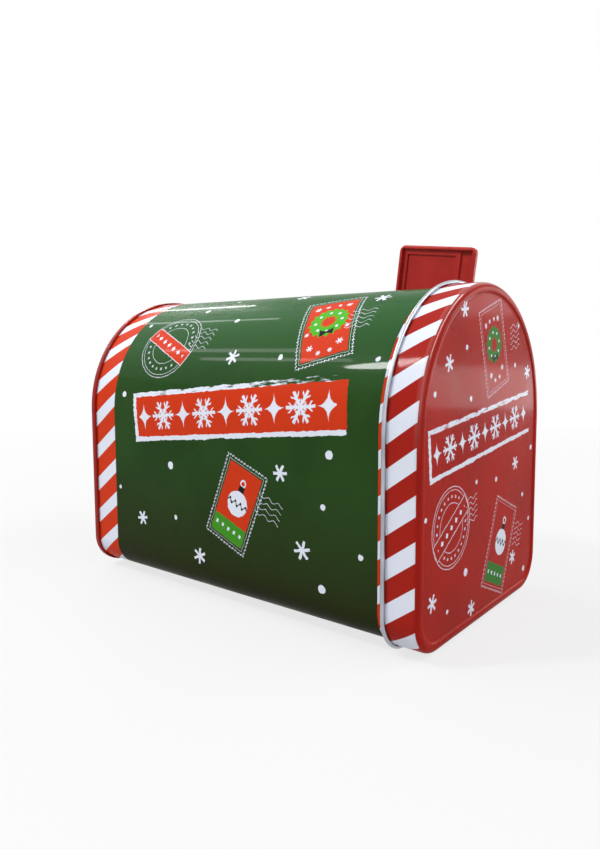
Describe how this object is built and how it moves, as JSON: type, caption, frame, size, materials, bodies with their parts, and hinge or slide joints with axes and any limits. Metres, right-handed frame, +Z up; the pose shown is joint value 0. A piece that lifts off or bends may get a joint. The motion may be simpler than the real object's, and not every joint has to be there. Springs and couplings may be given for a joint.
{
  "type": "tin money box",
  "caption": "Mailbox-shaped tinplate money box with an arched top, a coin slot along its crown, a pull-off lid with a rolled edge and a swinging side flag",
  "frame": {"origin": "Centre of the bounding box in plan, at the lowest point, which is the bottom of the lid's rolled edge.", "axes": "+Z up. +Y along the length of the tin, from the lid at the front to the seamed panel at the rear. +X towards the side that carries the flag."},
  "size_m": [0.1089, 0.172, 0.1519],
  "materials": {
    "body_shell": "gloss lacquered print",
    "rear_panel": "gloss lacquer",
    "front_lid": "gloss lacquered print, bare rolled edge",
    "flag": "satin moulded plastic",
    "flag_rivet": "plated",
    "flag_washer": "plain",
    "rivet_washer": "plated"
  },
  "bodies": {
    "body": {"body_shell": "body_shell", "rear_panel": "rear_panel", "flag_rivet": "flag_rivet", "flag_washer": "flag_washer", "rivet_washer": "rivet_washer"},
    "lid": {"front_lid": "front_lid"},
    "flag": {"flag": "flag"}
  },
  "joints": [
    {"name": "lid_pull", "type": "slide", "parent": "body", "child": "lid", "axis": [0, -1, 0], "range_m": [0, 0.1]},
    {"name": "flag_swing", "type": "hinge", "parent": "body", "child": "flag", "pos_m": [0.0518, -0.042, 0.0636], "axis": [-1, 0, 0], "range_deg": [0, 97]}
  ]
}
